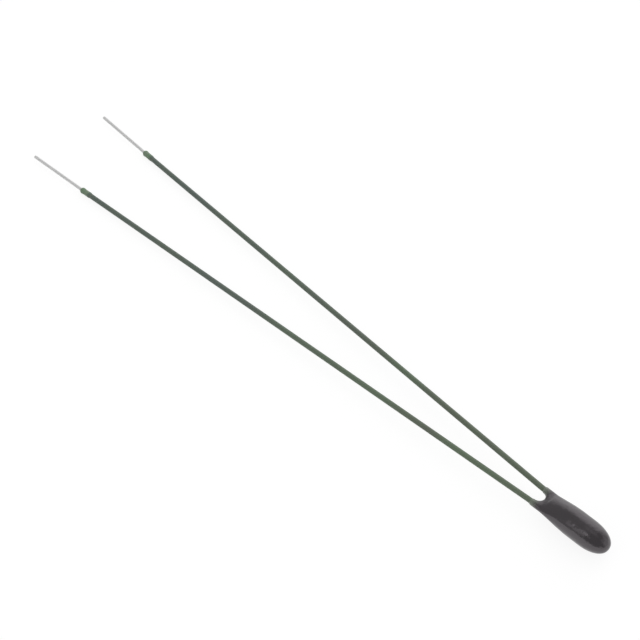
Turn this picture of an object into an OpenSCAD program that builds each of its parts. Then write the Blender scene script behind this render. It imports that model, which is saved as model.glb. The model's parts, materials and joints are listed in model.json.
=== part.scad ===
// Radial leaded thermistor: a chip soldered between two insulated solid leads and dipped in epoxy.
// It lies as it comes to rest, on the belly of the head and on the swollen ends of the two sleeves.
// Its parts are laid out in the head's own frame first: +X is the head's axis, towards its tip, and
// x = 0 is the bottom of the web of epoxy between the leads.

/* [Leads] */
// Diameter of each solid conductor, over its tin
wire_d = 0.27; // [0.15:0.01:0.30]
// Wall of the insulation on each conductor
sleeve_wall = 0.08; // [0.04:0.005:0.11]
// Distance between the axes of the two leads, inside the head and at its mouth
lead_pitch = 1.47; // [1.3:0.01:1.6]
// Length of each lead from the mouth of the head to its tip
lead_len = 55.4; // [20:0.2:120]
// Bare length at the tip of each lead
strip_len = 6.2; // [2:0.1:12]
// Angle between each lead and the axis of the head
splay_deg = 3.25; // [0.5:0.05:6]
// Straight stretch of each lead in front of the mouth of the head, before its bend
lead_out = 0.1; // [0.05:0.05:1]
// Bend radius of each lead in front of the head
splay_r = 3; // [1:0.5:10]
// Angle at which each bare end bends up from its sleeve, away from the floor
bare_deg = 1; // [0.2:0.1:5]
// Bend radius of each bare end at its sleeve
bare_r = 2; // [0.5:0.5:10]
// How far the ball at the swollen end of each sleeve stands out from the sleeve
bead_swell = 0.06; // [0.05:0.005:0.12]
// How far the second lump of the swollen end stands out from the sleeve
lump_swell = 0.045; // [0.03:0.005:0.08]
// How far the waist between the ball and the lump stands out from the sleeve
waist_swell = 0.03; // [0.01:0.005:0.03]
// Distance of the middle of the lump from the end of the sleeve
lump_at = 1.05; // [0.8:0.05:1.3]
// Length of the tail behind the middle of the lump
tail_len = 0.25; // [0.2:0.05:0.6]

/* [Head] */
// Diameter of the round body of the head
body_d = 2.14; // [1.9:0.02:2.8]
// Length of the head from the bottom of the web to the tip
head_len = 5.93; // [5.7:0.01:9]
// Length of the rounded tip
tip_len = 2.05; // [1.0:0.05:2.2]
// Fullness of the rounded tip: 2 is an ellipse, and more is blunter
tip_power = 2.2; // [2:0.1:3]
// Length over which the neck grows into the round body
neck_len = 3.0; // [2:0.1:3.6]
// How the neck thickens: 1 is even, and less makes it bulge closer behind the web
neck_power = 1.1; // [0.7:0.05:1.5]
// Length over which the two collars and the web between them turn into one oval
merge_len = 0.7; // [0.4:0.05:1]
// Epoxy over the sleeves at the neck
neck_wall = 0.05; // [0.03:0.01:0.10]
// Depth of the hollow in each face of the web, midway between the leads
neck_dip = 0.02; // [0:0.01:0.10]
// How far the epoxy creeps up each sleeve past the roots of the web
creep_len = 0.1; // [0.05:0.05:0.5]
// Thickness of the epoxy's edge where it ends on a sleeve
creep_edge = 0.015; // [0.01:0.005:0.03]

/* [Chip] */
// Side of the square thermistor chip
chip_w = 1.1; // [0.7:0.05:1.3]
// Thickness of the chip, between its two electrodes
chip_t = 0.5; // [0.2:0.05:0.65]
// Thickness of each fired electrode
electrode_t = 0.03; // [0.02:0.005:0.05]
// Epoxy between the chip and the tip of the head
chip_cover = 1.15; // [0.9:0.05:1.6]

/* [Joints in the head] */
// Bare electrode in front of each conductor's end
lap_gap = 0.25; // [0.12:0.01:0.35]
// Solder over each conductor and in front of its end
solder_wall = 0.08; // [0.05:0.01:0.1]
// Solder between each conductor and its electrode
solder_film = 0.02; // [0.01:0.005:0.04]
// Radius of the hollow fillets at the foot of the solder
solder_fillet = 0.12; // [0.05:0.01:0.12]
// Thickness of the solder at the edge of its foot
solder_toe = 0.02; // [0.01:0.005:0.04]
// Bare electrode between the back edge of the chip and the solder
solder_inset = 0.08; // [0.02:0.01:0.2]
// Angle at which each bare conductor closes in on the chip
jog_deg = 20; // [12:1:30]
// Bend radius of each conductor at both ends of that jog
jog_r = 0.8; // [0.4:0.05:0.8]
// Straight stretch of each conductor between the jog and the chip
jog_gap = 0.15; // [0.05:0.05:0.3]
// How far each sleeve reaches into the head, past the bottom of the web
sleeve_in = 1.4; // [0.5:0.1:1.8]

/* [Hidden] */
$fn = 48;

// Radii of the leads and of the head, and half the distance between the leads
wire_r = wire_d / 2;
sleeve_r = wire_r + sleeve_wall;
lead_y = lead_pitch / 2;
neck_r = sleeve_r + neck_wall;
body_r = body_d / 2;
bead_r = sleeve_r + bead_swell;
lump_r = sleeve_r + lump_swell;

// The web's edge is half of a ring around web_root_x that joins the two collars
web_r = lead_y - neck_r;
web_root_x = -web_r;
mouth_x = web_root_x - creep_len;
tip_x = head_len - tip_len;

// The chip, the conductors on it and the jog that leads up to it
chip_x = head_len - chip_cover - chip_w / 2;
chip_back_x = chip_x - chip_w / 2;
face_y = chip_t / 2 + electrode_t;
wire_y = face_y + solder_film + wire_r;
wire_end_x = chip_back_x + chip_w - lap_gap;
solder_r = wire_r + solder_wall;
jog_skew = (lead_y - wire_y - 2 * jog_r * (1 - cos(jog_deg))) / sin(jog_deg);
jog_len = 2 * jog_r * sin(jog_deg) + jog_skew * cos(jog_deg);
jog_x = chip_back_x - jog_gap - jog_len;

// The bend in front of the head, and the straight sleeve after it
bent_s = lead_out + splay_r * splay_deg * PI / 180;
sleeve_out = lead_len - bent_s - strip_len;

// The bare end, how far it reaches along its lead and how far it rises
bare_straight = strip_len - bare_r * bare_deg * PI / 180;
bare_reach = bare_r * sin(bare_deg) + bare_straight * cos(bare_deg);
bare_rise = bare_r * (1 - cos(bare_deg)) + bare_straight * sin(bare_deg);

// A run of stock is a list of steps: [length] goes straight, and [angle, radius, roll] bends,
// after a roll about the stock's own axis
OUT_STEP = [splay_deg, splay_r, 0];
WIRE_RUN = [[wire_end_x - chip_back_x + jog_gap], [jog_deg, jog_r, 0], [jog_skew], [-jog_deg, jog_r, 0],
            [jog_x - mouth_x + lead_out], OUT_STEP, [sleeve_out], [bare_deg, bare_r, 90],
            [bare_straight]];
SLEEVE_RUN = [[sleeve_in - mouth_x + lead_out], OUT_STEP, [sleeve_out - lump_at]];

// The bore follows the sleeve's run, and its cut goes on for bore_past beyond both ends of the sleeve
bore_past = 0.5;
BORE_RUN = [[bore_past + sleeve_in - mouth_x + lead_out], OUT_STEP, [sleeve_out + bore_past]];

// Half angle of the lump's tail, a tangent cone that goes on below the sleeve's surface for tail_root
tail_deg = asin(lump_r / norm([tail_len, sleeve_r])) - atan2(sleeve_r, tail_len);
tail_root = 0.1;

// How the part rests: the whole V tips until the belly and the ball on each sleeve touch the floor
bead_x = lead_x(lead_len - strip_len - bead_r);
tip_deg = atan((body_r - bead_r) / (neck_len - bead_x));
rest_z = body_r * cos(tip_deg) - neck_len * sin(tip_deg);
back_x = lead_x(lead_len - strip_len + bare_reach) * cos(tip_deg) - bare_rise * sin(tip_deg)
    - wire_r * sin(splay_deg);
front_x = head_len * cos(tip_deg);

// Steps along each stretch of the head's skin, and across a quarter of it
CREEP_STEPS = 3;
WEB_STEPS = 8;
EDGE_STEPS = 4;
NECK_STEPS = 14;
BODY_STEPS = 2;
TIP_STEPS = 10;
ACROSS_STEPS = 12;

// Where along X a straight lead has come to, at a distance s along it from the mouth of the head
function lead_x(s) = mouth_x - lead_out - splay_r * sin(splay_deg) - (s - bent_s) * cos(splay_deg);

// A smooth step from 0 to 1
function ease(t) = pow(sin(90 * min(1, max(0, t))), 2);

// Radius of the collar of epoxy around a sleeve, which thins towards the mouth
function collar_r(x) = sleeve_r + creep_edge
    + (neck_wall - creep_edge) * ease((x - mouth_x) / creep_len);

// What the rounded tip leaves of the body's radius
function tip_share(x) = pow(max(0, 1 - pow(max(0, x - tip_x) / tip_len, tip_power)), 1 / tip_power);

// Inner and outer edge of one half of the head at x
function inner_y(x) = x <= web_root_x ? lead_y - collar_r(x)
    : sqrt(max(0, pow(web_r, 2) - pow(min(x, 0) - web_root_x, 2)));
function outer_y(x) = x <= 0 ? lead_y + collar_r(x)
    : tip_share(x) * (lead_y + neck_r + (body_r - lead_y - neck_r) * ease(x / neck_len));

// Half thickness at x of the oval that the neck turns into, in its middle
function oval_z(x) = neck_r + (body_r - neck_r) * pow(sin(90 * min(1, max(0, x / neck_len))), neck_power);

// Half thickness of the web and its collars, where the epoxy follows the sleeves and dips between
function web_z(x, y) =
    let (off = x < web_root_x || y > lead_y ? abs(y - lead_y)
             : max(0, lead_y - norm([x - web_root_x, y])),
         dip = y < lead_y ? neck_dip / neck_r * pow(cos(90 * y / lead_y), 2) : 0)
    sqrt(max(0, pow(collar_r(x), 2) - off * off)) * (1 - dip);

// Half thickness of the head: the web's section turns into an oval, and the oval into a circle
function skin_z(x, y) =
    let (merged = ease(x / merge_len), out = outer_y(x), as_web = x > 0 ? y * (lead_y + neck_r) / out : y)
    (1 - merged) * web_z(x, as_web) + merged * tip_share(x) * oval_z(x) * sqrt(max(0, 1 - pow(y / out, 2)));

// Stations along the head, closer together where the skin turns faster
STATIONS = concat(
    [for (i = [0:CREEP_STEPS - 1]) mouth_x + creep_len * i / CREEP_STEPS],
    [for (i = [0:WEB_STEPS]) web_root_x + web_r * sin(90 * i / WEB_STEPS)],
    [for (i = [1:EDGE_STEPS]) neck_r * (1 - cos(90 * i / EDGE_STEPS))],
    [for (i = [1:NECK_STEPS]) neck_r + (neck_len - neck_r) * i / NECK_STEPS],
    [for (i = [1:BODY_STEPS]) neck_len + (tip_x - neck_len) * i / BODY_STEPS],
    [for (i = [1:TIP_STEPS - 1]) tip_x + tip_len * sin(90 * i / TIP_STEPS)]);
ROWS = len(STATIONS);
ACROSS = ACROSS_STEPS + 1;

// One point of the skin, in the quarter with positive Y and Z
function skin_point(i, j) =
    let (x = STATIONS[i], near = inner_y(x), far = outer_y(x),
         y = near + (far - near) * (1 - cos(180 * j / ACROSS_STEPS)) / 2)
    [x, y, j == ACROSS_STEPS ? 0 : skin_z(x, y)];

// Number of a point: quarters share their points on the middle plane, the web's edge and the rim
function skin_id(i, j, left, under) =
    let (mid = j == 0 && STATIONS[i] >= 0, rim = j == ACROSS_STEPS || (j == 0 && STATIONS[i] <= 0),
         quarter = (mid ? 0 : left) + 2 * (rim ? 0 : under))
    (quarter * ROWS + i) * ACROSS + j;
APEX_ID = 4 * ROWS * ACROSS;

function turned(face, flip) = flip ? [for (k = [len(face) - 1:-1:0]) face[k]] : face;

// The leads' ends of the head are closed here, and opened again by the sleeves
function mouth_face(left) = turned(concat(
    [for (j = [0:ACROSS_STEPS]) skin_id(0, j, left, 0)],
    [for (j = [ACROSS_STEPS - 1:-1:1]) skin_id(0, j, left, 1)]), left == 0);

// Skin of the whole head as one closed mesh
module head_skin() {
    points = concat(
        [for (under = [0, 1], left = [0, 1], i = [0:ROWS - 1], j = [0:ACROSS_STEPS])
            let (p = skin_point(i, j)) [p[0], left ? -p[1] : p[1], under ? -p[2] : p[2]]],
        [[head_len, 0, 0]]);
    sides = [for (under = [0, 1], left = [0, 1], i = [0:ROWS - 2], j = [0:ACROSS_STEPS - 1])
        let (a = skin_id(i, j, left, under), b = skin_id(i, j + 1, left, under),
             c = skin_id(i + 1, j + 1, left, under), d = skin_id(i + 1, j, left, under))
        each [turned([a, b, c], left != under), turned([a, c, d], left != under)]];
    cap = [for (under = [0, 1], left = [0, 1], j = [0:ACROSS_STEPS - 1])
        turned([skin_id(ROWS - 1, j, left, under), skin_id(ROWS - 1, j + 1, left, under), APEX_ID],
               left != under)];
    polyhedron(points, concat(sides, cap, [for (left = [0, 1]) mouth_face(left)]), convexity = 6);
}

// One bend of round stock from the origin, which starts along +X and turns towards +Y
module bend(angle, radius, d) {
    translate([0, radius, 0]) rotate([0, 0, -90])
        rotate_extrude(angle = angle) translate([radius, 0]) circle(d = d);
}

// Round stock along a run, which starts at the origin along +X; what follows sits at its end
module run(steps, d, i = 0) {
    if (i == len(steps)) {
        children();
    } else if (len(steps[i]) == 1) {
        rotate([0, 90, 0]) linear_extrude(steps[i][0]) circle(d = d);
        translate([steps[i][0], 0, 0]) run(steps, d, i + 1) children();
    } else {
        angle = steps[i][0];
        radius = steps[i][1];
        rotate([steps[i][2], 0, 0]) {
            if (angle > 0) bend(angle, radius, d);
            else mirror([0, 1, 0]) bend(-angle, radius, d);
            translate([radius * sin(abs(angle)), sign(angle) * radius * (1 - cos(angle)), 0])
                rotate([0, 0, angle]) run(steps, d, i + 1) children();
        }
    }
}

// Side 1 carries the lead at positive Y, and side -1 its mirror image
module on_side(side) {
    mirror([0, side < 0 ? 1 : 0, 0]) children();
}

// A lead's run starts in the head and goes away from the tip
module lead_from(x, y) {
    translate([x, y, 0]) mirror([1, 0, 0]) children();
}

// Half of the outline of the swollen end, where the insulation bunched up as it was stripped. From
// the lump, at the origin, a tail leads back to the sleeve, and a waist leads on along Y to the ball.
module bead_outline() {
    cone_at = lump_r * sin(tail_deg);
    root_at = tail_len + tail_root;
    root_r = sleeve_r - tail_root * tan(tail_deg);
    intersection() {
        union() {
            circle(lump_r);
            polygon([[0, -root_at], [root_r, -root_at], [lump_r * cos(tail_deg), -cone_at], [0, -cone_at]]);
            square([sleeve_r + waist_swell, lump_at - bead_r]);
            translate([0, lump_at - bead_r]) circle(bead_r);
        }
        translate([0, -root_at]) square([bead_r, root_at + lump_at]);
    }
}

module bead() {
    rotate([0, 90, 0]) rotate_extrude() bead_outline();
}

module conductor(side) {
    on_side(side) lead_from(wire_end_x, wire_y) run(WIRE_RUN, wire_d);
}

// A sleeve's outside, as far as its swollen end, which the children make
module sleeve_stock(side) {
    on_side(side) lead_from(sleeve_in, lead_y) run(SLEEVE_RUN, 2 * sleeve_r) children();
}

module sleeve_bore(side) {
    on_side(side) lead_from(sleeve_in + bore_past, lead_y) run(BORE_RUN, wire_d);
}

module sleeve(side) {
    difference() {
        sleeve_stock(side) bead();
        sleeve_bore(side);
    }
}

// The fired electrode on one face of the chip
module electrode(side) {
    on_side(side) translate([chip_back_x, chip_t / 2, -chip_w / 2])
        cube([chip_w, electrode_t, chip_w]);
}

module chip() {
    translate([chip_back_x, -chip_t / 2, -chip_w / 2]) cube([chip_w, chip_t, chip_w]);
}

// Section of the solder across a conductor: round over the wire, with a hollow fillet to each side.
// Its own X is the height over the electrode, and root is how far it goes down into it.
module solder_section(root) {
    wire_h = solder_film + wire_r;
    fillet_h = solder_toe + solder_fillet;
    foot = sqrt(pow(solder_r + solder_fillet, 2) - pow(fillet_h - wire_h, 2));
    meet_h = wire_h + (fillet_h - wire_h) * solder_r / (solder_r + solder_fillet);
    difference() {
        union() {
            translate([wire_h, 0]) circle(solder_r);
            translate([-root, -foot]) square([root + meet_h, 2 * foot]);
        }
        translate([-root - solder_r, -foot]) square([solder_r, 2 * foot]);
        for (end = [1, -1]) translate([fillet_h, end * foot]) circle(solder_fillet);
    }
}

// The solder along one conductor, cut off flat by the electrode or below its face
module solder_mound(side, root = 0) {
    from_x = chip_back_x + solder_inset;
    on_side(side) translate([from_x, face_y, 0]) rotate([90, 0, 90])
        linear_extrude(wire_end_x + solder_wall - from_x) solder_section(root);
}

module solder(side) {
    difference() {
        solder_mound(side);
        conductor(side);
    }
}

// The dipped head, with room for all that it seals in: the chip and its electrodes leave one block
module coating() {
    difference() {
        head_skin();
        translate([chip_back_x, -face_y, -chip_w / 2]) cube([chip_w, 2 * face_y, chip_w]);
        for (side = [1, -1]) {
            solder_mound(side, electrode_t);
            conductor(side);
            sleeve_stock(side);
        }
    }
}

// From the head's frame to the floor, with the origin under the middle of the part
module laid() {
    translate([-(front_x + back_x) / 2, 0, rest_z]) rotate([0, -tip_deg, 0]) children();
}

module epoxy_head() { color("#403c40") laid() coating(); }
module thermistor_chip() { color("#4d5052") laid() chip(); }
module electrode_a() { color("#d6d6d2") laid() electrode(1); }
module electrode_b() { color("#d6d6d2") laid() electrode(-1); }
module solder_a() { color("#a9adb0") laid() solder(1); }
module solder_b() { color("#a9adb0") laid() solder(-1); }
module lead_wire_a() { color("#c4c4c4") laid() conductor(1); }
module lead_wire_b() { color("#c4c4c4") laid() conductor(-1); }
module insulation_a() { color("#4c6354") laid() sleeve(1); }
module insulation_b() { color("#4c6354") laid() sleeve(-1); }

epoxy_head();
thermistor_chip();
electrode_a();
electrode_b();
solder_a();
solder_b();
lead_wire_a();
lead_wire_b();
insulation_a();
insulation_b();
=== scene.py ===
"""Looks of a radial leaded thermistor: a dipped epoxy head on two insulated leads with bare ends."""

import json
import math

import bpy
import numpy as np
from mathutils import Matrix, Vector


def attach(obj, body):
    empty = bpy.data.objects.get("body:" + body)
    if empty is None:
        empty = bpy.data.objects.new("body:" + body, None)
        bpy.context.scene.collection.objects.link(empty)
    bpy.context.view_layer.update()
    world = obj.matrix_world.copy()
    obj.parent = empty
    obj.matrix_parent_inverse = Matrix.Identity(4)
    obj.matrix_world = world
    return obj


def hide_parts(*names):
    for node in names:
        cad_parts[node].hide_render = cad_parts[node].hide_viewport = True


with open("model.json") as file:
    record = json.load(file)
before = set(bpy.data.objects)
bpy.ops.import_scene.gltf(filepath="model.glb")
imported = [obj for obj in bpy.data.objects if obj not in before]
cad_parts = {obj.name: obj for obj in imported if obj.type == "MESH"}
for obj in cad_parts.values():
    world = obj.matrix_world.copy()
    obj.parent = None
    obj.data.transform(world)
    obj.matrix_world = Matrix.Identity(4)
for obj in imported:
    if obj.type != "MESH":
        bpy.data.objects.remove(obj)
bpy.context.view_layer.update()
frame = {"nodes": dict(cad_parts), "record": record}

MM = 0.001

# Leads, in millimetres and as in the part's source, like all sizes of the part below
WIRE_R = frame["record"]["mounts"][0]["dims"]["r_mm"]
SLEEVE_WALL = 0.08
LEAD_Y = 0.735
LEAD_LEN = 55.4
STRIP_LEN = 6.2
SPLAY = math.radians(3.25)
LEAD_OUT = 0.1
SPLAY_R = 3.0
BARE = math.radians(1.0)
BARE_R = 2.0
SLEEVE_R = WIRE_R + SLEEVE_WALL

# Swollen end of each sleeve: a ball at the end, then a waist, a lump and the lump's tail
BALL_SWELL = 0.06
WAIST_SWELL = 0.03
LUMP_SWELL = 0.045
LUMP_AT = 1.05
TAIL_LEN = 0.25
BALL_R = SLEEVE_R + BALL_SWELL
WAIST_R = SLEEVE_R + WAIST_SWELL
LUMP_R = SLEEVE_R + LUMP_SWELL
TAIL_SLOPE = math.asin(LUMP_R / math.hypot(TAIL_LEN, SLEEVE_R)) - math.atan2(SLEEVE_R, TAIL_LEN)

# Head: x = 0 is the bottom of the web between the leads, and the mouth is where the epoxy ends
BODY_R = 1.07
HEAD_LEN = 5.93
TIP_LEN = 2.05
TIP_POWER = 2.2
NECK_LEN = 3.0
NECK_POWER = 1.1
MERGE_LEN = 0.7
NECK_WALL = 0.05
NECK_DIP = 0.02
CREEP_LEN = 0.1
CREEP_EDGE = 0.015
NECK_R = SLEEVE_R + NECK_WALL
WEB_R = LEAD_Y - NECK_R
WEB_ROOT_X = -WEB_R
MOUTH_X = WEB_ROOT_X - CREEP_LEN
TIP_X = HEAD_LEN - TIP_LEN

# Chip, and where each conductor lies on it
CHIP_W = 1.1
CHIP_T = 0.5
CHIP_COVER = 1.15
ELECTRODE_T = 0.03
SOLDER_FILM = 0.02
LAP_GAP = 0.25
CHIP_BACK_X = HEAD_LEN - CHIP_COVER - CHIP_W
WIRE_Y = CHIP_T / 2 + ELECTRODE_T + SOLDER_FILM + WIRE_R
LAP_LEN = CHIP_W - LAP_GAP

# Jog of each bare conductor between the chip and its sleeve
JOG = math.radians(20)
JOG_R = 0.8
JOG_GAP = 0.15
JOG_SKEW = (LEAD_Y - WIRE_Y - 2 * JOG_R * (1 - math.cos(JOG))) / math.sin(JOG)
JOG_X = CHIP_BACK_X - JOG_GAP - 2 * JOG_R * math.sin(JOG) - JOG_SKEW * math.cos(JOG)
SLEEVE_IN = 1.4

# Each run is a list of steps: (length,) goes straight, (angle, radius, roll) bends
BENT_S = LEAD_OUT + SPLAY_R * SPLAY
SLEEVE_OUT = LEAD_LEN - BENT_S - STRIP_LEN
BARE_STRAIGHT = STRIP_LEN - BARE_R * BARE
OUT_STEP = (SPLAY, SPLAY_R, 0.0)
WIRE_RUN = [(LAP_LEN + JOG_GAP,), (JOG, JOG_R, 0.0), (JOG_SKEW,), (-JOG, JOG_R, 0.0),
            (JOG_X - MOUTH_X + LEAD_OUT,), OUT_STEP, (SLEEVE_OUT,),
            (BARE, BARE_R, math.pi / 2), (BARE_STRAIGHT,)]
SLEEVE_RUN = [(SLEEVE_IN - MOUTH_X + LEAD_OUT,), OUT_STEP, (SLEEVE_OUT,)]


def lead_x(s):
    """Where along X the straight part of a lead has come to, at a distance s from the mouth."""
    return MOUTH_X - LEAD_OUT - SPLAY_R * math.sin(SPLAY) - (s - BENT_S) * math.cos(SPLAY)


# How the part rests, on the belly of the head and on the ball at the end of each sleeve
TIP = math.atan((BODY_R - BALL_R) / (NECK_LEN - lead_x(LEAD_LEN - STRIP_LEN - BALL_R)))
REST_Z = BODY_R * math.cos(TIP) - NECK_LEN * math.sin(TIP)
BARE_REACH = BARE_R * math.sin(BARE) + BARE_STRAIGHT * math.cos(BARE)
BARE_RISE = BARE_R * (1 - math.cos(BARE)) + BARE_STRAIGHT * math.sin(BARE)
BACK_X = (lead_x(LEAD_LEN - STRIP_LEN + BARE_REACH) * math.cos(TIP) - BARE_RISE * math.sin(TIP)
          - WIRE_R * math.sin(SPLAY))
SHIFT_X = -(HEAD_LEN * math.cos(TIP) + BACK_X) / 2


def laid(points):
    """From the head's own frame in millimetres to the row's frame in metres."""
    p = np.asarray(points, float)
    x = p[:, 0] * math.cos(TIP) - p[:, 2] * math.sin(TIP) + SHIFT_X
    z = p[:, 0] * math.sin(TIP) + p[:, 2] * math.cos(TIP) + REST_Z
    return np.column_stack([x, p[:, 1], z]) * MM


def add_face(faces, corners, flip):
    """Adds a face without its doubled corners, if three or more are left."""
    ring = list(dict.fromkeys(corners))
    if len(ring) > 2:
        faces.append(ring[::-1] if flip else ring)


def new_piece(name, points, faces, material, replaced, sharp_deg=40):
    """A smooth-shaded mesh piece in the row's frame that stands for one CAD node."""
    mesh = bpy.data.meshes.new(name)
    mesh.from_pydata([tuple(p) for p in laid(points)], [], faces)
    mesh.validate()
    mesh.shade_smooth()
    mesh.set_sharp_from_angle(angle=math.radians(sharp_deg))
    piece = bpy.data.objects.new(name, mesh)
    bpy.context.scene.collection.objects.link(piece)
    mesh.materials.append(material)
    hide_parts(replaced)
    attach(piece, "root")
    return piece


def keep_attribute(piece, name, values):
    """Stores one number for each vertex, for the material to read."""
    layer = piece.data.attributes.new(name, "FLOAT", "POINT")
    layer.data.foreach_set("value", np.asarray(values, np.float32))


# Skin of the dipped head, worked out on its upper half and on the side of lead a

def ease(t):
    """0 up to t = 0, 1 from t = 1, smooth between."""
    return np.sin(np.pi / 2 * np.clip(t, 0, 1)) ** 2


def collar_r(x):
    """Radius of the collar of epoxy round each sleeve, thinner towards the mouth."""
    return SLEEVE_R + CREEP_EDGE + (NECK_WALL - CREEP_EDGE) * ease((x - MOUTH_X) / CREEP_LEN)


def tip_share(x):
    """What the rounded tip leaves of the body's radius."""
    return max(0.0, 1 - (max(0.0, x - TIP_X) / TIP_LEN) ** TIP_POWER) ** (1 / TIP_POWER)


def inner_y(x):
    """The skin's inner edge: of a collar, then of the web, and none in the head."""
    if x <= WEB_ROOT_X:
        return LEAD_Y - collar_r(x)
    return math.sqrt(max(0.0, WEB_R ** 2 - (min(x, 0.0) - WEB_ROOT_X) ** 2))


def outer_y(x):
    """The skin's outer edge, from the collar over the neck and the body to the tip."""
    if x <= 0:
        return LEAD_Y + collar_r(x)
    return tip_share(x) * (LEAD_Y + NECK_R + (BODY_R - LEAD_Y - NECK_R) * ease(x / NECK_LEN))


def oval_z(x):
    """Half thickness of the oval that the neck turns into, in its middle."""
    grown = math.sin(math.pi / 2 * min(1.0, max(0.0, x / NECK_LEN)))
    return NECK_R + (BODY_R - NECK_R) * grown ** NECK_POWER


def web_z(x, y):
    """Half thickness of the web and its collars, with a dip between the sleeves."""
    if x < WEB_ROOT_X or y > LEAD_Y:
        off = abs(y - LEAD_Y)
    else:
        off = max(0.0, LEAD_Y - math.hypot(x - WEB_ROOT_X, y))
    dip = NECK_DIP / NECK_R * math.cos(math.pi / 2 * y / LEAD_Y) ** 2 if y < LEAD_Y else 0.0
    return math.sqrt(max(0.0, collar_r(x) ** 2 - off * off)) * (1 - dip)


def skin_z(x, y):
    """Half thickness of the head: the web's section turns into an oval, and that into a circle."""
    merged, out = ease(x / MERGE_LEN), outer_y(x)
    as_web = y * (LEAD_Y + NECK_R) / out if x > 0 else y
    oval = tip_share(x) * oval_z(x) * math.sqrt(max(0.0, 1 - (y / out) ** 2))
    return (1 - merged) * web_z(x, as_web) + merged * oval


def head_stations(creep=6, web=24, edge=10, neck=60, body=12, tip=40):
    """Places along the head, this many on each stretch, closer together where the skin turns faster."""
    quarter = math.pi / 2
    return ([MOUTH_X + CREEP_LEN * i / creep for i in range(creep)]
            + [WEB_ROOT_X + WEB_R * math.sin(quarter * i / web) for i in range(web + 1)]
            + [NECK_R * (1 - math.cos(quarter * i / edge)) for i in range(1, edge + 1)]
            + [NECK_R + (NECK_LEN - NECK_R) * i / neck for i in range(1, neck + 1)]
            + [NECK_LEN + (TIP_X - NECK_LEN) * i / body for i in range(1, body + 1)]
            + [TIP_X + TIP_LEN * math.sin(quarter * i / tip) for i in range(1, tip)])


def head_mesh(across=40):
    """Points and faces of the whole skin: four quarters that share their edges."""
    stations = head_stations()
    quarters = [(left, under) for under in (0, 1) for left in (0, 1)]
    points, number, faces = [], {}, []

    def vertex(i, j, left, under):
        """Number of the point at station i and step j across, made when it is first asked for."""
        x = stations[i]
        middle = j == 0 and x >= 0
        rim = j == across or (j == 0 and x <= 0)
        key = (i, j, 0 if middle else left, 0 if rim else under)
        if key not in number:
            near, far = inner_y(x), outer_y(x)
            y = near + (far - near) * (1 - math.cos(math.pi * j / across)) / 2
            z = 0.0 if j == across else skin_z(x, y)
            number[key] = len(points)
            points.append((x, -y if left else y, -z if under else z))
        return number[key]

    for left, under in quarters:
        for i in range(len(stations) - 1):
            for j in range(across):
                corners = [vertex(i, j, left, under), vertex(i + 1, j, left, under),
                           vertex(i + 1, j + 1, left, under), vertex(i, j + 1, left, under)]
                add_face(faces, corners, flip=left != under)
    apex = len(points)
    points.append((HEAD_LEN, 0.0, 0.0))
    last = len(stations) - 1
    for left, under in quarters:
        for j in range(across):
            corners = [vertex(last, j, left, under), apex, vertex(last, j + 1, left, under)]
            add_face(faces, corners, flip=left != under)
    for left in (0, 1):
        ring = [vertex(0, j, left, 0) for j in range(across + 1)]
        ring += [vertex(0, j, left, 1) for j in range(across - 1, 0, -1)]
        add_face(faces, ring, flip=left == 1)
    return points, faces


def make_head(material):
    """The dipped head, closed by a flat face at the mouth of each collar."""
    points, faces = head_mesh()
    piece = new_piece("dipped_head", points, faces, material, "epoxy_head")
    keep_attribute(piece, "past_mouth", [p[0] - MOUTH_X for p in points])
    return piece


# Round stock swept along a run

# How the stock is cut into rings: the stretches of it, and the distance between the rings on each.
# A conductor has fine rings over its jog and its bend at the sleeve's end, and a sleeve over its
# bend at the mouth.
JOG_STRETCH = 4.0
MOUTH_STRETCH = 3.0
STRIP_STRETCH = 0.2
STRETCH_GAP = 0.3
BEND_RINGS = 0.06
STRIP_RINGS = 0.02
COVERED_RINGS = 0.6
BARE_RINGS = 0.1
SLEEVE_RINGS = 0.5
BORE_RINGS = 0.3


def rotated(v, axis, angle):
    """Turns the vector v about a unit axis."""
    return (v * math.cos(angle) + np.cross(axis, v) * math.sin(angle)
            + axis * (axis @ v) * (1 - math.cos(angle)))


def place_on(run, s, tiny=1e-12):
    """Point, direction and side vector of a run at the distance s along it, in the run's frame."""
    point, ahead, side = np.zeros(3), np.array([1.0, 0, 0]), np.array([0, 1.0, 0])
    for k, step in enumerate(run):
        last = k == len(run) - 1
        if len(step) == 1:
            part = s if last else min(s, step[0])
            point = point + ahead * part
        else:
            angle, radius, roll = step
            side = rotated(side, ahead, roll)
            turn = math.copysign(1.0, angle)
            part = min(s, radius * abs(angle))
            bent = turn * part / radius
            point = (point + ahead * radius * math.sin(abs(bent))
                     + side * turn * radius * (1 - math.cos(bent)))
            up = np.cross(ahead, side)
            ahead, side = rotated(ahead, up, bent), rotated(side, up, bent)
        s -= part
        if s <= tiny:
            break
    return point, ahead, side


def swept(run, profile, start, side_sign, sides=32, closed=False):
    """Points, faces and distances of a profile of (s, radius) pairs, swept round a run.

    The run starts at start in the head's frame and goes away from the tip.
    """
    points, faces, along, rings = [], [], [], []
    for s, r in profile:
        centre, ahead, side = place_on(run, s)
        up = np.cross(ahead, side)
        steps = 1 if r == 0 else sides
        ring = []
        for k in range(steps):
            a = 2 * math.pi * k / sides
            p = centre + r * (math.cos(a) * side + math.sin(a) * up)
            ring.append(len(points))
            points.append((start[0] - p[0], side_sign * (start[1] + p[1]), p[2]))
            along.append(s)
        rings.append(ring)
    pairs = list(zip(rings[:-1], rings[1:]))
    if closed:
        pairs.append((rings[-1], rings[0]))
    for first, second in pairs:
        for k in range(sides):
            n = (k + 1) % sides
            corners = [first[k % len(first)], second[k % len(second)],
                       second[n % len(second)], first[n % len(first)]]
            add_face(faces, corners, flip=side_sign < 0)
    return points, faces, along


def run_length(run):
    """Length of a run along the middle of the stock."""
    return sum(step[0] if len(step) == 1 else abs(step[0]) * step[1] for step in run)


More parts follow.
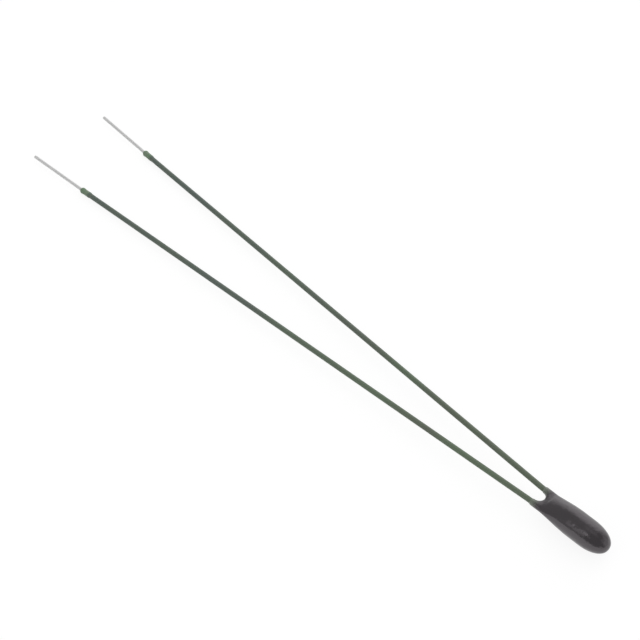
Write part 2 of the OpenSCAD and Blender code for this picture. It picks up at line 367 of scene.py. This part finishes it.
def spaced(start, end, step):
    """Distances from start to end, both included, about one step apart."""
    return list(np.linspace(start, end, max(2, int(math.ceil((end - start) / step)) + 1)))


def make_conductor(name, side_sign, material, replaced, edge=0.03, edge_start=0.2, edge_rings=6):
    """Solid wire from the chip to the bare tip, cut off with a rounded edge of this radius."""
    length = run_length(WIRE_RUN)
    strip = length - STRIP_LEN
    stations = (spaced(0, JOG_STRETCH, BEND_RINGS)
                + spaced(JOG_STRETCH + STRETCH_GAP, strip - STRETCH_GAP, COVERED_RINGS)
                + spaced(strip - STRIP_STRETCH, strip + STRIP_STRETCH, STRIP_RINGS)
                + spaced(strip + STRETCH_GAP, length - edge, BARE_RINGS))
    profile = [(0.0, 0.0)] + [(s, WIRE_R) for s in stations]
    profile += [(length - edge + edge * math.sin(a), WIRE_R - edge + edge * math.cos(a))
                for a in np.linspace(edge_start, math.pi / 2, edge_rings)]
    profile += [(length, 0.0)]
    start = (CHIP_BACK_X + LAP_LEN, WIRE_Y)
    points, faces, along = swept(WIRE_RUN, profile, start, side_sign)
    piece = new_piece(name, points, faces, material, replaced)
    keep_attribute(piece, "from_end", [length - s for s in along])
    return piece


def bead_r(back):
    """Radius of the swollen end of a sleeve, at the distance back from its end."""
    off = back - LUMP_AT
    if off > LUMP_R * math.sin(TAIL_SLOPE):
        return max(SLEEVE_R, SLEEVE_R + (TAIL_LEN - off) * math.tan(TAIL_SLOPE))
    lump = math.sqrt(max(0.0, LUMP_R ** 2 - off ** 2))
    ball = math.sqrt(max(0.0, BALL_R ** 2 - (back - BALL_R) ** 2))
    waist = WAIST_R if back > BALL_R else 0.0
    return max(lump, ball, waist)


def bead_profile(end, melt=0.12, samples=13, melted_rings=90, ball_rings=14):
    """The swollen end: tail, lump, waist and ball, melted into each other, up to the wire."""
    exit_back = BALL_R * (1 - math.sqrt(1 - (WIRE_R / BALL_R) ** 2))
    window = np.linspace(-melt, melt, samples)
    melted = [(end - back, float(np.mean([bead_r(max(BALL_R, back + w)) for w in window])))
              for back in np.linspace(LUMP_AT + TAIL_LEN + melt, BALL_R, melted_rings)]
    turns = np.linspace(0, math.pi / 2, ball_rings)[1:]
    ball = [(end - back, bead_r(back)) for back in BALL_R - (BALL_R - exit_back) * np.sin(turns)]
    return melted + ball


def make_sleeve(name, side_sign, material, replaced, bead_gap=0.1):
    """Insulation with its bore, and the swollen end where it was stripped."""
    end = run_length(SLEEVE_RUN)
    bead = bead_profile(end)
    stations = (spaced(0, MOUTH_STRETCH, BEND_RINGS)
                + spaced(MOUTH_STRETCH + STRETCH_GAP, bead[0][0] - bead_gap, SLEEVE_RINGS))
    outer = [(s, SLEEVE_R) for s in stations] + bead
    bore = [(s, WIRE_R) for s in spaced(0, outer[-1][0], BORE_RINGS)[::-1]]
    points, faces, along = swept(SLEEVE_RUN, outer + bore[1:], (SLEEVE_IN, LEAD_Y), side_sign,
                                 closed=True)
    piece = new_piece(name, points, faces, material, replaced)
    keep_attribute(piece, "from_end", [end - s for s in along])
    return piece


# Materials

def rgba(colour):
    """A colour with its alpha. A single number is a grey."""
    return (*colour, 1.0) if isinstance(colour, tuple) else (colour, colour, colour, 1.0)


class Graph:
    """Short calls for building a node tree."""

    def __init__(self, tree):
        self.tree = tree

    def add(self, kind, **settings):
        """A new node with these properties."""
        node = self.tree.nodes.new(kind)
        for key, value in settings.items():
            setattr(node, key, value)
        return node

    def feed(self, socket, value):
        """Links an input to another node's output, or sets it to a number or a colour."""
        if hasattr(value, "links"):
            self.tree.links.new(value, socket)
        else:
            socket.default_value = value

    def compute(self, operation, *values):
        """The result of one operation on outputs and numbers."""
        node = self.add("ShaderNodeMath", operation=operation)
        for socket, value in zip(node.inputs, values):
            self.feed(socket, value)
        return node.outputs[0]

    def smooth(self, value, zero_at, one_at):
        """0 at one value and 1 at the other, smooth between."""
        node = self.add("ShaderNodeMapRange", interpolation_type="SMOOTHSTEP")
        self.feed(node.inputs["Value"], value)
        self.feed(node.inputs["From Min"], zero_at)
        self.feed(node.inputs["From Max"], one_at)
        return node.outputs["Result"]


class Nodes(Graph):
    """The node tree of one material."""

    def __init__(self, name):
        self.material = bpy.data.materials.new(name)
        self.material.use_nodes = True
        super().__init__(self.material.node_tree)
        self.shader = self.tree.nodes["Principled BSDF"]

    def set(self, **values):
        """Feeds the shader's inputs, whose names have _ for a space here."""
        for key, value in values.items():
            self.feed(self.shader.inputs[key.replace("_", " ")], value)

    def places(self, scale=(1, 1, 1)):
        """Object coordinates in millimetres, times scale: below 1 draws a pattern out."""
        coordinates = self.add("ShaderNodeTexCoord")
        mapping = self.add("ShaderNodeMapping")
        mapping.inputs["Scale"].default_value = [s / MM for s in scale]
        self.feed(mapping.inputs["Vector"], coordinates.outputs["Object"])
        return mapping.outputs["Vector"]

    def noise(self, places, size, detail, roughness=0.5):
        """Noise with blobs of about this size in millimetres."""
        node = self.add("ShaderNodeTexNoise")
        self.feed(node.inputs["Vector"], places)
        self.feed(node.inputs["Scale"], 1.0 / size)
        self.feed(node.inputs["Detail"], detail)
        self.feed(node.inputs["Roughness"], roughness)
        return node.outputs["Fac"]

    def ramp(self, value, low, high):
        """From one colour or grey to another, each given with the value that it stands at."""
        node = self.add("ShaderNodeValToRGB")
        for element, (position, colour) in zip(node.color_ramp.elements, (low, high)):
            element.position = position
            element.color = rgba(colour)
        self.feed(node.inputs["Fac"], value)
        return node.outputs["Color"]

    def attribute(self, name):
        """A number that the mesh holds for each vertex."""
        return self.add("ShaderNodeAttribute", attribute_name=name).outputs["Fac"]

    def mix(self, share, first, second):
        """The first colour at a share of 0, the second at 1."""
        node = self.add("ShaderNodeMix", data_type="RGBA")
        self.feed(node.inputs["Factor"], share)
        self.feed(node.inputs["A"], first)
        self.feed(node.inputs["B"], second)
        return node.outputs["Result"]

    def bump(self, height, depth):
        """Relief of the surface, depth in millimetres."""
        node = self.add("ShaderNodeBump")
        self.feed(node.inputs["Distance"], depth * MM)
        self.feed(node.inputs["Height"], height)
        self.set(Normal=node.outputs["Normal"])


def olive_green(nodes, places):
    """The insulation's colour near the head, with a slow drift."""
    dull, fresh = (0.172, 0.196, 0.150), (0.174, 0.236, 0.156)
    return nodes.ramp(nodes.noise(places, size=6.0, detail=2), (0.38, dull), (0.62, fresh))


def epoxy_material(film_len=0.75, film_roughness=0.4):
    """Dipped charcoal epoxy: glossy, and so thin near the mouth that the green shows through."""
    nodes = Nodes("epoxy")
    places = nodes.places()
    black, charcoal = (0.0025, 0.0012, 0.0022), (0.0050, 0.0030, 0.0042)
    tint = nodes.ramp(nodes.noise(places, size=0.9, detail=2), (0.35, black), (0.65, charcoal))
    roughness = nodes.ramp(nodes.noise(places, size=0.5, detail=4), (0.3, 0.12), (0.7, 0.20))
    film = nodes.smooth(nodes.attribute("past_mouth"), zero_at=film_len, one_at=0.0)
    nodes.set(Base_Color=nodes.mix(film, tint, olive_green(nodes, places)),
              Roughness=nodes.mix(film, roughness, rgba(film_roughness)),
              IOR=1.9, Specular_Tint=(1.0, 0.93, 0.985, 1))
    nodes.bump(nodes.noise(places, size=0.35, detail=3), depth=0.03)
    return nodes.material


def insulation_material():
    """Thin green insulation, cooler towards its end and paler where the end swelled."""
    nodes = Nodes("insulation")
    places = nodes.places()
    from_end = nodes.attribute("from_end")
    cool, cool_green = (0.146, 0.186, 0.166), (0.156, 0.194, 0.156)
    far = nodes.ramp(nodes.noise(places, size=6.0, detail=2), (0.38, cool), (0.62, cool_green))
    nearer = nodes.smooth(from_end, zero_at=5, one_at=45)
    body = nodes.mix(nearer, far, olive_green(nodes, places))
    patches = nodes.noise(places, size=0.3, detail=2)
    lump = nodes.ramp(patches, (0.38, (0.130, 0.180, 0.152)), (0.62, (0.205, 0.222, 0.176)))
    ball = nodes.ramp(patches, (0.38, (0.195, 0.310, 0.190)), (0.62, (0.265, 0.340, 0.245)))
    swollen = nodes.mix(nodes.smooth(from_end, zero_at=1.25, one_at=0.85), lump, ball)
    swelling = nodes.smooth(from_end, zero_at=1.7, one_at=1.2)
    roughness = nodes.ramp(nodes.noise(places, size=0.4, detail=4), (0.3, 0.42), (0.7, 0.56))
    nodes.set(Base_Color=nodes.mix(swelling, body, swollen), Roughness=roughness, IOR=1.4)
    nodes.bump(nodes.noise(nodes.places(scale=(0.2, 1, 1)), size=0.12, detail=3), depth=0.006)
    return nodes.material


def wire_material():
    """Drawn and tinned copper: light grey metal with faint marks along its length."""
    nodes = Nodes("tinned_wire")
    marks = nodes.noise(nodes.places(scale=(0.05, 1, 1)), size=0.06, detail=4)
    dark, light = (0.80, 0.80, 0.80), (0.88, 0.88, 0.875)
    nodes.set(Base_Color=nodes.ramp(marks, (0.3, dark), (0.7, light)),
              Roughness=nodes.ramp(marks, (0.3, 0.48), (0.7, 0.60)),
              Metallic=0.4, Specular_Tint=(0.3, 0.3, 0.3, 1))
    nodes.bump(marks, depth=0.002)
    return nodes.material


def ceramic_material():
    """Sintered metal-oxide ceramic with saw marks across its edges."""
    nodes = Nodes("thermistor_ceramic")
    grain = nodes.noise(nodes.places(), size=0.03, detail=5, roughness=0.7)
    dark, light = (0.055, 0.058, 0.062), (0.105, 0.11, 0.115)
    nodes.set(Base_Color=nodes.ramp(grain, (0.3, dark), (0.7, light)), Roughness=0.7)
    nodes.bump(nodes.noise(nodes.places(scale=(1, 1, 0.1)), size=0.02, detail=4), depth=0.006)
    return nodes.material


def silver_material():
    """Fired silver paste, matt and finely grained."""
    nodes = Nodes("silver_electrode")
    grain = nodes.noise(nodes.places(), size=0.02, detail=5, roughness=0.7)
    dark, light = (0.70, 0.69, 0.66), (0.84, 0.83, 0.80)
    nodes.set(Base_Color=nodes.ramp(grain, (0.3, dark), (0.7, light)),
              Roughness=nodes.ramp(grain, (0.3, 0.5), (0.7, 0.65)), Metallic=1.0)
    nodes.bump(grain, depth=0.003)
    return nodes.material


def solder_material(crystal=0.08):
    """Frozen tin solder: bright grey with a soft crystalline relief."""
    nodes = Nodes("solder")
    cells = nodes.add("ShaderNodeTexVoronoi")
    nodes.feed(cells.inputs["Vector"], nodes.places())
    nodes.feed(cells.inputs["Scale"], 1 / crystal)
    dark, light = (0.46, 0.48, 0.50), (0.60, 0.62, 0.64)
    nodes.set(Base_Color=nodes.ramp(cells.outputs["Distance"], (0.0, dark), (0.8, light)),
              Metallic=1.0, Roughness=0.35)
    nodes.bump(cells.outputs["Distance"], depth=0.003)
    return nodes.material


def dress_node(name, material):
    """Gives its material to a CAD node that stays."""
    node = frame["nodes"][name]
    node.data.materials.clear()
    node.data.materials.append(material)


# Stage, light and camera

def matt(graph, grey):
    """A matt shader of one grey."""
    node = graph.add("ShaderNodeBsdfDiffuse")
    node.inputs["Color"].default_value = rgba(grey)
    return node.outputs[0]


def seen_white(graph, shaded, bright):
    """A shader that is bright for camera, glossy and transmission rays, and shaded for others."""
    rays = graph.add("ShaderNodeLightPath").outputs
    seen = rays["Is Camera Ray"]
    for kind in ("Is Glossy Ray", "Is Transmission Ray"):
        seen = graph.compute("MAXIMUM", seen, rays[kind])
    mix = graph.add("ShaderNodeMixShader")
    for socket, value in zip(mix.inputs, (seen, shaded, bright)):
        graph.feed(socket, value)
    return mix.outputs[0]


def make_floor(radius=1.5, sides=96, albedo=0.8, seen_albedo=0.2, glow=0.88):
    """A pale round floor that reads as white, and still takes a soft shadow."""
    mesh = bpy.data.meshes.new("floor")
    ring = [(radius * math.cos(a), radius * math.sin(a), 0.0)
            for a in np.linspace(0, 2 * math.pi, sides, endpoint=False)]
    mesh.from_pydata(ring, [], [list(range(sides))])
    floor = bpy.data.objects.new("floor", mesh)
    bpy.context.scene.collection.objects.link(floor)
    material = bpy.data.materials.new("floor")
    material.use_nodes = True
    graph = Graph(material.node_tree)
    graph.tree.nodes.remove(graph.tree.nodes["Principled BSDF"])
    emission = graph.add("ShaderNodeEmission")
    graph.feed(emission.inputs["Strength"], glow)
    glowing = graph.add("ShaderNodeAddShader")
    graph.feed(glowing.inputs[0], matt(graph, seen_albedo))
    graph.feed(glowing.inputs[1], emission.outputs[0])
    surface = seen_white(graph, matt(graph, albedo), glowing.outputs[0])
    graph.feed(graph.tree.nodes["Material Output"].inputs["Surface"], surface)
    mesh.materials.append(material)


class Panel:
    """A bright patch of the studio with soft edges, in degrees; azimuth 0 is +X and 90 is +Y."""

    def __init__(self, level, azimuth, half_width, side_blur, low, high, blur):
        self.level = level
        self.azimuth = math.radians(azimuth)
        self.half_width = math.radians(half_width)
        self.side_blur = math.radians(side_blur) / 2
        self.low, self.high = math.radians(low), math.radians(high)
        self.blur = math.radians(blur) / 2

    def share(self, graph, azimuth, elevation):
        """How much of the panel shows in a direction, from 0 outside it to 1 in it."""
        away = graph.compute("PINGPONG", graph.compute("SUBTRACT", azimuth, self.azimuth), math.pi)
        side = graph.smooth(away, zero_at=self.half_width + self.side_blur,
                            one_at=self.half_width - self.side_blur)
        above = graph.smooth(elevation, zero_at=self.low - self.blur, one_at=self.low + self.blur)
        below = graph.smooth(elevation, zero_at=self.high + self.blur, one_at=self.high - self.blur)
        return graph.compute("MULTIPLY", graph.compute("MULTIPLY", side, above), below)


# The studio's grey and its panels, as the camera sees them: a broad one behind the part, another to
# its right, a faint one to its left, a small one in front with a glint beside it, and one overhead
STUDIO_GREY = 0.42
PANELS = [
    Panel(level=0.86, azimuth=110, half_width=32, side_blur=40, low=-90, high=60, blur=45),
    Panel(level=0.40, azimuth=28, half_width=35, side_blur=16, low=-90, high=47, blur=16),
    Panel(level=0.10, azimuth=198, half_width=60, side_blur=20, low=-90, high=120, blur=16),
    Panel(level=0.38, azimuth=-108, half_width=7, side_blur=6, low=14, high=58, blur=8),
    Panel(level=1.60, azimuth=-100, half_width=4, side_blur=4, low=36, high=52, blur=6),
    Panel(level=0.18, azimuth=0, half_width=200, side_blur=16, low=76, high=120, blur=16)]


def make_studio():
    """A dim grey world with soft bright panels, which add up where they overlap."""
    world = bpy.data.worlds.new("studio")
    bpy.context.scene.world = world
    world.use_nodes = True
    graph = Graph(world.node_tree)
    way = graph.add("ShaderNodeSeparateXYZ")
    graph.feed(way.inputs["Vector"], graph.add("ShaderNodeTexCoord").outputs["Generated"])
    azimuth = graph.compute("ARCTAN2", way.outputs["Y"], way.outputs["X"])
    elevation = graph.compute("ARCSINE", way.outputs["Z"])
    level = STUDIO_GREY
    for panel in PANELS:
        share = panel.share(graph, azimuth, elevation)
        level = graph.compute("MULTIPLY_ADD", share, panel.level, level)
    background = graph.tree.nodes["Background"]
    graph.feed(background.inputs["Color"], rgba(1.0))
    graph.feed(background.inputs["Strength"], level)


# The photograph's view, from the fit of the leads and the head to it
VIEW_AZIMUTH = math.radians(46.39)
VIEW_ELEVATION = math.radians(47.60)
VIEW_DISTANCE = 124.25 * MM
LOOK_AT = Vector((0.534, 1.070, 0.0)) * MM
LENS_MM = 86.96
SENSOR_MM = 36.0


def make_camera():
    """The camera that sees the part as the photograph does."""
    back = Vector((math.sin(VIEW_AZIMUTH) * math.cos(VIEW_ELEVATION),
                   -math.cos(VIEW_AZIMUTH) * math.cos(VIEW_ELEVATION), math.sin(VIEW_ELEVATION)))
    data = bpy.data.cameras.new("camera")
    data.sensor_width = SENSOR_MM
    data.lens = LENS_MM
    data.clip_start, data.clip_end = 0.005, 10.0
    camera = bpy.data.objects.new("camera", data)
    bpy.context.scene.collection.objects.link(camera)
    camera.location = LOOK_AT + back * VIEW_DISTANCE
    camera.rotation_mode = "QUATERNION"
    camera.rotation_quaternion = (-back).to_track_quat("-Z", "Y")
    bpy.context.scene.camera = camera


def main():
    """Makes the camera, the pieces, the floor and the studio."""
    make_camera()
    make_head(epoxy_material())
    insulation, wire = insulation_material(), wire_material()
    for letter, side_sign in (("a", 1), ("b", -1)):
        make_sleeve("sleeve_" + letter, side_sign, insulation, "insulation_" + letter)
        make_conductor("conductor_" + letter, side_sign, wire, "lead_wire_" + letter)
    dress_node("thermistor_chip", ceramic_material())
    silver, solder = silver_material(), solder_material()
    for letter in "ab":
        dress_node("electrode_" + letter, silver)
        dress_node("solder_" + letter, solder)
    make_floor()
    make_studio()
    bpy.context.scene.view_settings.view_transform = "Standard"


main()
